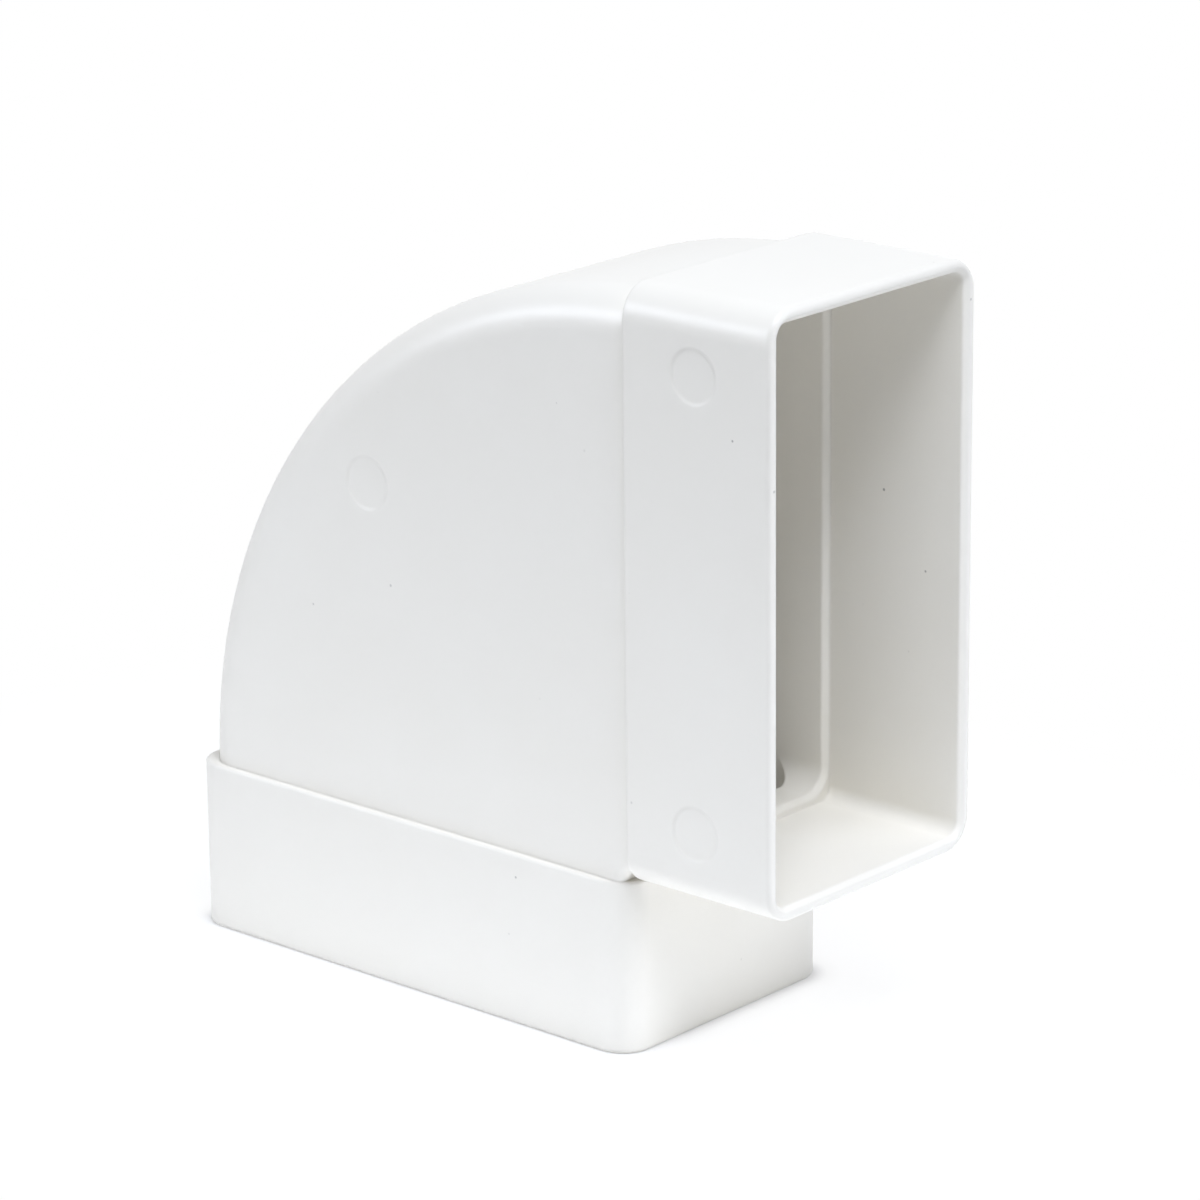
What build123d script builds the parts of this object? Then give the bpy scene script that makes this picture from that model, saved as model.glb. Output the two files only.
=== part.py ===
"""Horizontal bend for flat ventilation duct.

One hollow plastic moulding that turns a flat duct through 90 degrees in the plane of its wide side.
It stands on one mouth, with the other mouth facing +X. The origin is the centre of the lower mouth.
"""

from build123d import *
import os

# Flat duct that pushes into each mouth, measured outside
duct_width = 110.0
duct_height = 54.0
duct_corner = 2.6

# Gap around the duct in its socket, on each side
duct_clearance = 0.1

# Moulded wall, and the length of duct that goes in before it meets the stop
wall = 2.8
socket_depth = 32.0

# Stop that the duct's end meets; the outside steps in by as much where the bend begins
narrow_side_stop = 2.1
wide_side_stop = 1.25

# Rounding along the outside of the sockets, inside the passage, and outside the bend next to the throat
socket_corner = 6.6
passage_corner = 4.8
throat_edge = 2.0

# Roundings and bevels as shares of the wall or step that they are cut from
ledge_share = 0.5
rim_share = 0.36
lead_in_share = 0.34
stop_lip_share = 0.9

# Flat that is left between a ledge's rounding and the fillet in the throat
throat_land = 0.5

# Shallow round marks with a sloping edge, which the ejector pins leave on one wide side
pin_diameter = 10.8
pin_mark_edge = 0.45
pin_mark_depth = 0.25
socket_pin_inset = 17.8
curve_pin_inset = 20.0
pin_spacing = 87.0

# Socket, inside and outside
bore_width = duct_width + 2 * duct_clearance
bore_height = duct_height + 2 * duct_clearance
bore_corner = duct_corner + duct_clearance
socket_width = bore_width + 2 * wall
socket_height = bore_height + 2 * wall
socket_length = socket_depth + wall

# Bend, inside and outside
passage_width = bore_width - 2 * narrow_side_stop
passage_height = bore_height - 2 * wide_side_stop
bend_width = passage_width + 2 * wall
bend_height = passage_height + 2 * wall
bend_edge = passage_corner + wall

# Roundings and bevels
ledge_edge = ledge_share * wide_side_stop
rim_edge = rim_share * wall
lead_in = lead_in_share * wall
stop_lip = stop_lip_share * wide_side_stop
throat_fillet = ledge_edge + throat_land

# Throat web, sunk to the middle of the walls and roundings around it
web_land = wall / 2
web_radius = narrow_side_stop + web_land
web_reach = socket_height / 2 - socket_corner

# Throat, the inner corner where the two sockets meet: the passage turns about it
turn_angle = 90
throat_x = socket_width / 2
throat_z = socket_length
throat_axis = Axis((throat_x, 0, throat_z), (0, 1, 0))
bend_start = Plane.XY.offset(throat_z)
mitre = Plane((throat_x, 0, throat_z), z_dir=(1, 0, 1))
outer_curve_radius = throat_x + bend_width / 2
sweep_radius = throat_x + passage_width / 2
leg_width = sweep_radius + wall

# Mouths: each plane's X runs along the wide side toward the throat, and its normal is the way in
lower_mouth = Plane.XY
side_mouth = Plane(
    origin=(throat_x + socket_length, 0, throat_z + socket_width / 2),
    x_dir=(0, 0, -1),
    z_dir=(-1, 0, 0),
)
mouths = (lower_mouth, side_mouth)

with BuildPart() as passage:
    # First half: a straight leg, kept inside the sweep of the outer side as far as the mitre
    with BuildSketch(bend_start):
        with Locations((passage_width / 2, 0)):
            Rectangle(leg_width, passage_height, align=(Align.MAX, Align.CENTER))
        fillet(vertices().group_by(Axis.X)[-1], passage_corner)
    extrude(amount=sweep_radius)
    with BuildSketch(bend_start):
        with Locations((throat_x, 0)):
            Rectangle(sweep_radius, passage_height, align=(Align.MAX, Align.CENTER))
        fillet(vertices().group_by(Axis.X)[0], passage_corner)
    revolve(axis=throat_axis, revolution_arc=turn_angle / 2, mode=Mode.INTERSECT)

    # Second half: the same from the other socket, so that both meet at a sharp corner in the throat
    mirror(about=mitre)

with BuildPart() as duct_bend:
    # Sockets: rounded sleeves whose inner end is a rounded ledge around the bend
    for mouth in mouths:
        way_in = Axis(mouth.origin, mouth.z_dir)
        with BuildSketch(mouth):
            RectangleRounded(socket_width, socket_height, socket_corner)
        extrude(amount=socket_length)
        fillet(edges(Select.LAST).group_by(way_in)[-1], ledge_edge)
        fillet(edges().group_by(way_in)[0], rim_edge)

    # Bend: the narrower section swung from one ledge to the other about the throat
    with BuildSketch(bend_start):
        Rectangle(bend_width, bend_height)
        fillet(vertices().group_by(Axis.X)[0], bend_edge)
        fillet(vertices().group_by(Axis.X)[-1], throat_edge)
    revolve(axis=throat_axis, revolution_arc=turn_angle)

    # Throat web: fills the corner between the two ledges and rounds it on the outside
    with BuildSketch(Plane.XZ):
        with BuildLine(Plane.XZ):
            swing = CenterArc((throat_x, throat_z), web_radius, 90, turn_angle)
            lower_leg = Polyline(
                swing @ 1,
                (throat_x - web_land, throat_z),
                (throat_x - web_land, throat_z - throat_fillet),
                (throat_x, throat_z - throat_fillet),
            )
            corner = RadiusArc(lower_leg @ 1, (throat_x + throat_fillet, throat_z), throat_fillet)
            Polyline(
                corner @ 1,
                (throat_x + throat_fillet, throat_z + web_land),
                (throat_x, throat_z + web_land),
                swing @ 0,
            )
        make_face()
    extrude(amount=web_reach, both=True)

    # Bores: each takes a duct down to its stop, and the narrower passage goes on from there
    for mouth in mouths:
        way_in = Axis(mouth.origin, mouth.z_dir)
        with BuildSketch(mouth):
            RectangleRounded(bore_width, bore_height, bore_corner)
        extrude(amount=socket_depth, mode=Mode.SUBTRACT)
        chamfer(edges(Select.LAST).group_by(way_in)[0], lead_in)
        with BuildSketch(mouth.offset(socket_depth)):
            RectangleRounded(passage_width, passage_height, passage_corner)
        extrude(amount=wall, mode=Mode.SUBTRACT)
        chamfer(edges(Select.LAST).group_by(way_in)[0], stop_lip)

    # Passage: the turn from one socket to the other
    add(passage.part, mode=Mode.SUBTRACT)

    # Ejector marks: a pair on the side socket and one near the middle of the bend's outer curve
    pin_marks = []
    for side in (-1, 1):
        spot = side_mouth.from_local_coords((side * pin_spacing / 2, 0, socket_pin_inset))
        pin_marks.append((spot.X, -socket_height / 2, spot.Z))
    outward = Vector(-1, 0, 1).normalized() * (outer_curve_radius - curve_pin_inset)
    pin_marks.append((throat_x + outward.X, -bend_height / 2, throat_z + outward.Z))
    with Locations(*[Plane(pin_mark, z_dir=(0, 1, 0)) for pin_mark in pin_marks]):
        Cone(
            pin_diameter / 2,
            pin_diameter / 2 - pin_mark_edge,
            pin_mark_depth,
            align=(Align.CENTER, Align.CENTER, Align.MIN),
            mode=Mode.SUBTRACT,
        )

duct_bend.part.label = "duct_bend"

os.makedirs("parts", exist_ok=True)
export_step(duct_bend.part, "parts/duct_bend.step")
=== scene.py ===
"""Flat duct horizontal bend: a white moulded elbow that stands on one mouth, on a studio table."""

import math
import bpy
from mathutils import Matrix, Vector


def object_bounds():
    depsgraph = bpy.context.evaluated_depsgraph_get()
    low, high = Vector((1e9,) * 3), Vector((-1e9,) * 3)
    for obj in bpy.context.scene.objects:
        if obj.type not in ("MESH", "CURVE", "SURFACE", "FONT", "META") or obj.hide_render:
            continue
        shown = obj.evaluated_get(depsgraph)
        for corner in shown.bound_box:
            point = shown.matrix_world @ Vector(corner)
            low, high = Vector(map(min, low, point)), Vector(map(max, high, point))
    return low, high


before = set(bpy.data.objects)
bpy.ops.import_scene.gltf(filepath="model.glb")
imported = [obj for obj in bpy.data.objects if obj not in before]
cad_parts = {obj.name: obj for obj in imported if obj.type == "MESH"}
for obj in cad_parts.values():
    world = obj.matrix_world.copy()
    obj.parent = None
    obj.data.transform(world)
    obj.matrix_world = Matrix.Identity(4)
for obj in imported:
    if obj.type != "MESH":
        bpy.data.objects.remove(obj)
cad_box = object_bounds()

# Duct bend
# One hollow injection moulding in white plastic: a push-fit socket at each end and a quarter bend between
# them. The mould is polished to a satin gloss, which leaves a faint orange peel, a little cloud in the white
# and a few dark specks. Handling adds thin rubbed streaks.
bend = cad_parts["duct_bend"]

plastic = bpy.data.materials.new("satin_white_plastic")
plastic.use_nodes = True
nodes = plastic.node_tree.nodes
links = plastic.node_tree.links
shader = nodes["Principled BSDF"]
shader.inputs["IOR"].default_value = 1.49

place = nodes.new("ShaderNodeTexCoord")

# Cloud: two close whites that drift into each other over a few centimetres
cloud = nodes.new("ShaderNodeTexNoise")
cloud.inputs["Scale"].default_value = 22.0
cloud.inputs["Detail"].default_value = 4.0
cloud.inputs["Roughness"].default_value = 0.6
links.new(place.outputs["Object"], cloud.inputs["Vector"])
whites = nodes.new("ShaderNodeValToRGB")
whites.color_ramp.elements[0].position = 0.3
whites.color_ramp.elements[0].color = (0.892, 0.86, 0.785, 1.0)
whites.color_ramp.elements[1].position = 0.7
whites.color_ramp.elements[1].color = (0.908, 0.878, 0.807, 1.0)
links.new(cloud.outputs["Fac"], whites.inputs["Fac"])

# Specks: bits of burnt plastic up to half a millimetre across, a few on each side
speck_spread = nodes.new("ShaderNodeTexVoronoi")
speck_spread.inputs["Scale"].default_value = 95.0
links.new(place.outputs["Object"], speck_spread.inputs["Vector"])
speck_size = nodes.new("ShaderNodeMapRange")
speck_size.inputs["From Min"].default_value = 0.018
speck_size.inputs["From Max"].default_value = 0.034
speck_size.inputs["To Min"].default_value = 1.0
speck_size.inputs["To Max"].default_value = 0.0
links.new(speck_spread.outputs["Distance"], speck_size.inputs["Value"])
speck_tone = nodes.new("ShaderNodeSeparateColor")
links.new(speck_spread.outputs["Color"], speck_tone.inputs["Color"])
speck_depth = nodes.new("ShaderNodeMath")
speck_depth.operation = "POWER"
speck_depth.inputs[1].default_value = 2.5
links.new(speck_tone.outputs["Red"], speck_depth.inputs[0])
speck_mask = nodes.new("ShaderNodeMath")
speck_mask.operation = "MULTIPLY"
links.new(speck_size.outputs["Result"], speck_mask.inputs[0])
links.new(speck_depth.outputs["Value"], speck_mask.inputs[1])
speckled = nodes.new("ShaderNodeMix")
speckled.data_type = "RGBA"
speckled.inputs["B"].default_value = (0.42, 0.4, 0.36, 1.0)
links.new(speck_mask.outputs["Value"], speckled.inputs["Factor"])
links.new(whites.outputs["Color"], speckled.inputs["A"])
links.new(speckled.outputs["Result"], shader.inputs["Base Color"])

# Rubs: thin streaks at a slant, in scattered patches
rub_lie = nodes.new("ShaderNodeMapping")
rub_lie.inputs["Rotation"].default_value = (math.radians(20.0), math.radians(38.0), math.radians(15.0))
rub_lie.inputs["Scale"].default_value = (30.0, 900.0, 900.0)
links.new(place.outputs["Object"], rub_lie.inputs["Vector"])
rub_lines = nodes.new("ShaderNodeTexNoise")
rub_lines.inputs["Scale"].default_value = 1.0
rub_lines.inputs["Detail"].default_value = 2.0
links.new(rub_lie.outputs["Vector"], rub_lines.inputs["Vector"])
rub_edge = nodes.new("ShaderNodeMapRange")
rub_edge.inputs["From Min"].default_value = 0.62
rub_edge.inputs["From Max"].default_value = 0.74
links.new(rub_lines.outputs["Fac"], rub_edge.inputs["Value"])
rub_patch = nodes.new("ShaderNodeTexNoise")
rub_patch.inputs["Scale"].default_value = 34.0
links.new(place.outputs["Object"], rub_patch.inputs["Vector"])
rub_patch_edge = nodes.new("ShaderNodeMapRange")
rub_patch_edge.inputs["From Min"].default_value = 0.54
rub_patch_edge.inputs["From Max"].default_value = 0.68
links.new(rub_patch.outputs["Fac"], rub_patch_edge.inputs["Value"])
rubs = nodes.new("ShaderNodeMath")
rubs.operation = "MULTIPLY"
links.new(rub_edge.outputs["Result"], rubs.inputs[0])
links.new(rub_patch_edge.outputs["Result"], rubs.inputs[1])

# Gloss: satin, a little uneven, and duller along the rubs
gloss = nodes.new("ShaderNodeMapRange")
gloss.inputs["From Min"].default_value = 0.3
gloss.inputs["From Max"].default_value = 0.7
gloss.inputs["To Min"].default_value = 0.31
gloss.inputs["To Max"].default_value = 0.39
links.new(cloud.outputs["Fac"], gloss.inputs["Value"])
rubbed_gloss = nodes.new("ShaderNodeMath")
rubbed_gloss.operation = "MULTIPLY_ADD"
rubbed_gloss.inputs[1].default_value = 0.16
links.new(rubs.outputs["Value"], rubbed_gloss.inputs[0])
links.new(gloss.outputs["Result"], rubbed_gloss.inputs[2])
links.new(rubbed_gloss.outputs["Value"], shader.inputs["Roughness"])

# Relief in metres: orange peel, finer grain on top of it, and the rubs' shallow grooves
peel = nodes.new("ShaderNodeTexNoise")
peel.inputs["Scale"].default_value = 320.0
peel.inputs["Detail"].default_value = 1.0
links.new(place.outputs["Object"], peel.inputs["Vector"])
grain = nodes.new("ShaderNodeTexNoise")
grain.inputs["Scale"].default_value = 2600.0
grain.inputs["Detail"].default_value = 1.0
links.new(place.outputs["Object"], grain.inputs["Vector"])
peel_height = nodes.new("ShaderNodeMath")
peel_height.operation = "MULTIPLY"
peel_height.inputs[1].default_value = 0.000024
links.new(peel.outputs["Fac"], peel_height.inputs[0])
grain_height = nodes.new("ShaderNodeMath")
grain_height.operation = "MULTIPLY_ADD"
grain_height.inputs[1].default_value = 0.000004
links.new(grain.outputs["Fac"], grain_height.inputs[0])
links.new(peel_height.outputs["Value"], grain_height.inputs[2])
relief = nodes.new("ShaderNodeMath")
relief.operation = "MULTIPLY_ADD"
relief.inputs[1].default_value = -0.000012
links.new(rubs.outputs["Value"], relief.inputs[0])
links.new(grain_height.outputs["Value"], relief.inputs[2])
bump = nodes.new("ShaderNodeBump")
bump.inputs["Strength"].default_value = 1.0
bump.inputs["Distance"].default_value = 1.0

# Edges: the rims, stops and ejector marks come out of the mould soft, so the shading runs over within 0.9 mm
# of each edge
soft_edges = nodes.new("ShaderNodeBevel")
soft_edges.inputs["Radius"].default_value = 0.0009
links.new(soft_edges.outputs["Normal"], bump.inputs["Normal"])
links.new(relief.outputs["Value"], bump.inputs["Height"])
links.new(bump.outputs["Normal"], shader.inputs["Normal"])

bend.data.materials.clear()
bend.data.materials.append(plastic)

# Table
# A sheet of opal plastic on a light table: white, unmarked, and lit softly from below except under the part.
# The camera sees it as pure white, with a trace of the shadow close to the part and a dark line where the
# foot meets it. The line is partly real shadow and partly painted shade, because the glow from below fades to
# nothing at the foot.
table_front = -0.4
table_back = 0.3
table_left = -0.32
table_right = 0.42
bpy.ops.object.select_all(action="DESELECT")
bpy.ops.mesh.primitive_plane_add(size=1.0)
table = bpy.context.object
table.name = "table"
table.scale = (table_right - table_left, table_back - table_front, 1.0)
table.location = ((table_left + table_right) / 2, (table_front + table_back) / 2, 0.0)
bpy.ops.object.transform_apply(location=True, rotation=True, scale=True)

opal = bpy.data.materials.new("opal_sheet")
opal.use_nodes = True
opal_nodes = opal.node_tree.nodes
opal_links = opal.node_tree.links
matt = opal_nodes["Principled BSDF"]
matt.inputs["Base Color"].default_value = (0.92, 0.92, 0.92, 1.0)
matt.inputs["Roughness"].default_value = 0.9
matt.inputs["Specular IOR Level"].default_value = 0.1

# Distance in metres from the outline of the foot, which is a rectangle with rounded corners
foot_corner = 0.0066
foot_half_width = -cad_box[0][0]
foot_half_depth = cad_box[1][1]
foot_corner_centre = (foot_half_width - foot_corner, foot_half_depth - foot_corner, 0.0)
sheet_place = opal_nodes.new("ShaderNodeTexCoord")
one_quarter = opal_nodes.new("ShaderNodeVectorMath")
one_quarter.operation = "ABSOLUTE"
opal_links.new(sheet_place.outputs["Object"], one_quarter.inputs[0])
from_corner_centre = opal_nodes.new("ShaderNodeVectorMath")
from_corner_centre.operation = "SUBTRACT"
from_corner_centre.inputs[1].default_value = foot_corner_centre
opal_links.new(one_quarter.outputs["Vector"], from_corner_centre.inputs[0])
outside_only = opal_nodes.new("ShaderNodeVectorMath")
outside_only.operation = "MAXIMUM"
opal_links.new(from_corner_centre.outputs["Vector"], outside_only.inputs[0])
from_core = opal_nodes.new("ShaderNodeVectorMath")
from_core.operation = "LENGTH"
opal_links.new(outside_only.outputs["Vector"], from_core.inputs[0])
from_foot = opal_nodes.new("ShaderNodeMath")
from_foot.operation = "SUBTRACT"
from_foot.inputs[1].default_value = foot_corner
opal_links.new(from_core.outputs["Value"], from_foot.inputs[0])

# Light from below, which starts at the outline of the foot and reaches full strength 6 mm out. This fade also
# paints shade onto the sheet in a narrow band around the foot.
lamp_tint = (0.94, 0.988, 1.09)
under_light = opal_nodes.new("ShaderNodeEmission")
under_light.inputs["Color"].default_value = (*lamp_tint, 1.0)
under_power = opal_nodes.new("ShaderNodeMapRange")
under_power.inputs["From Min"].default_value = 0.0
under_power.inputs["From Max"].default_value = 0.006
under_power.inputs["To Max"].default_value = 0.44
opal_links.new(from_foot.outputs["Value"], under_power.inputs["Value"])
opal_links.new(under_power.outputs["Result"], under_light.inputs["Strength"])
lit_sheet = opal_nodes.new("ShaderNodeAddShader")
opal_links.new(matt.outputs["BSDF"], lit_sheet.inputs[0])
opal_links.new(under_light.outputs["Emission"], lit_sheet.inputs[1])

# White to the camera, in mirrors and through glass: all of it far from the foot, and less of it close by,
# where the sheet's real shadow and the painted shade at the foot show through
white = opal_nodes.new("ShaderNodeEmission")
white.inputs["Color"].default_value = (1.0, 1.0, 1.0, 1.0)
white.inputs["Strength"].default_value = 1.0
seen = opal_nodes.new("ShaderNodeLightPath")
seen_or_mirrored = opal_nodes.new("ShaderNodeMath")
seen_or_mirrored.operation = "MAXIMUM"
opal_links.new(seen.outputs["Is Camera Ray"], seen_or_mirrored.inputs[0])
opal_links.new(seen.outputs["Is Glossy Ray"], seen_or_mirrored.inputs[1])
seen_at_all = opal_nodes.new("ShaderNodeMath")
seen_at_all.operation = "MAXIMUM"
opal_links.new(seen_or_mirrored.outputs["Value"], seen_at_all.inputs[0])
opal_links.new(seen.outputs["Is Transmission Ray"], seen_at_all.inputs[1])
shadow_fade = opal_nodes.new("ShaderNodeMapRange")
shadow_fade.inputs["From Max"].default_value = 0.14
opal_links.new(from_foot.outputs["Value"], shadow_fade.inputs["Value"])
whiteness = opal_nodes.new("ShaderNodeValToRGB")
whiteness.color_ramp.elements[0].color = (0.42, 0.42, 0.42, 1.0)
shadow_white = whiteness.color_ramp.elements.new(0.02)
shadow_white.color = (0.84, 0.84, 0.84, 1.0)
opal_links.new(shadow_fade.outputs["Result"], whiteness.inputs["Fac"])
white_share = opal_nodes.new("ShaderNodeMath")
white_share.operation = "MULTIPLY"
opal_links.new(seen_at_all.outputs["Value"], white_share.inputs[0])
opal_links.new(whiteness.outputs["Color"], white_share.inputs[1])
opal_mix = opal_nodes.new("ShaderNodeMixShader")
opal_links.new(white_share.outputs["Value"], opal_mix.inputs["Fac"])
opal_links.new(lit_sheet.outputs["Shader"], opal_mix.inputs[1])
opal_links.new(white.outputs["Emission"], opal_mix.inputs[2])
opal_links.new(opal_mix.outputs["Shader"], opal_nodes["Material Output"].inputs["Surface"])
table.data.materials.append(opal)

# Studio light
# Four soft boxes with the table's cool lamps: a strong one high up in front of the open mouth, weak ones to
# the left and right of it, and a weak low one behind the part. The room around them is dark, and the backdrop
# is white to the camera.
world = bpy.data.worlds.new("studio")
bpy.context.scene.world = world
world.use_nodes = True
room_nodes = world.node_tree.nodes
room_links = world.node_tree.links
room = room_nodes["Background"]
room.inputs["Color"].default_value = (0.0, 0.0, 0.0, 1.0)
backdrop = room_nodes.new("ShaderNodeBackground")
backdrop.inputs["Color"].default_value = (1.0, 1.0, 1.0, 1.0)
backdrop.inputs["Strength"].default_value = 1.0
room_seen = room_nodes.new("ShaderNodeLightPath")
room_seen_or_mirrored = room_nodes.new("ShaderNodeMath")
room_seen_or_mirrored.operation = "MAXIMUM"
room_links.new(room_seen.outputs["Is Camera Ray"], room_seen_or_mirrored.inputs[0])
room_links.new(room_seen.outputs["Is Glossy Ray"], room_seen_or_mirrored.inputs[1])
room_seen_at_all = room_nodes.new("ShaderNodeMath")
room_seen_at_all.operation = "MAXIMUM"
room_links.new(room_seen_or_mirrored.outputs["Value"], room_seen_at_all.inputs[0])
room_links.new(room_seen.outputs["Is Transmission Ray"], room_seen_at_all.inputs[1])
room_mix = room_nodes.new("ShaderNodeMixShader")
room_links.new(room_seen_at_all.outputs["Value"], room_mix.inputs["Fac"])
room_links.new(room.outputs["Background"], room_mix.inputs[1])
room_links.new(backdrop.outputs["Background"], room_mix.inputs[2])
room_links.new(room_mix.outputs["Shader"], room_nodes["World Output"].inputs["Surface"])

middle_of_bend = Vector((0.03, 0.0, 0.08))


def soft_box(name, place, size, power):
    lamp = bpy.data.lights.new(name, "AREA")
    lamp.shape = "SQUARE"
    lamp.size = size
    lamp.energy = power
    lamp.color = lamp_tint
    holder = bpy.data.objects.new(name, lamp)
    holder.location = place
    holder.rotation_mode = "QUATERNION"
    holder.rotation_quaternion = (middle_of_bend - Vector(place)).to_track_quat("-Z", "Y")
    bpy.context.scene.collection.objects.link(holder)


soft_box("high_box", (0.396, -0.211, 0.986), size=0.5, power=9.4)
soft_box("front_box", (-0.66, -0.62, 0.46), size=0.35, power=3.2)
soft_box("mouth_box", (0.87, 0.5, 0.339), size=0.5, power=2.8)
soft_box("back_box", (-0.35, 0.92, 0.1), size=0.3, power=2.2)

# Camera
# A camera with a long lens, about a metre away. It stands to the right of the wide side, and looks down a
# little on the bend and into the open mouth.
azimuth = math.radians(41.582)
elevation = math.radians(17.274)
roll = math.radians(-0.592)
aim = Vector((0.028781, -0.003483, 0.07897))
distance = 0.97
focal_px = 5062.1
image_px = 1200.0
camera_data = bpy.data.cameras.new("camera")
camera_data.sensor_width = 36.0
camera_data.lens = focal_px / image_px * camera_data.sensor_width
camera_data.clip_start = 0.05
camera_data.clip_end = 20.0
camera = bpy.data.objects.new("camera", camera_data)
bpy.context.scene.collection.objects.link(camera)
back = Vector((
    math.sin(azimuth) * math.cos(elevation),
    -math.cos(azimuth) * math.cos(elevation),
    math.sin(elevation),
))
right = Vector((math.cos(azimuth), math.sin(azimuth), 0.0))
up = back.cross(right)
rolled_right = right * math.cos(roll) + up * math.sin(roll)
rolled_up = up * math.cos(roll) - right * math.sin(roll)
pose = Matrix((rolled_right, rolled_up, back)).transposed().to_4x4()
pose.translation = aim + back * distance
camera.matrix_world = pose
bpy.context.scene.camera = camera
bpy.context.scene.view_settings.view_transform = "Standard"
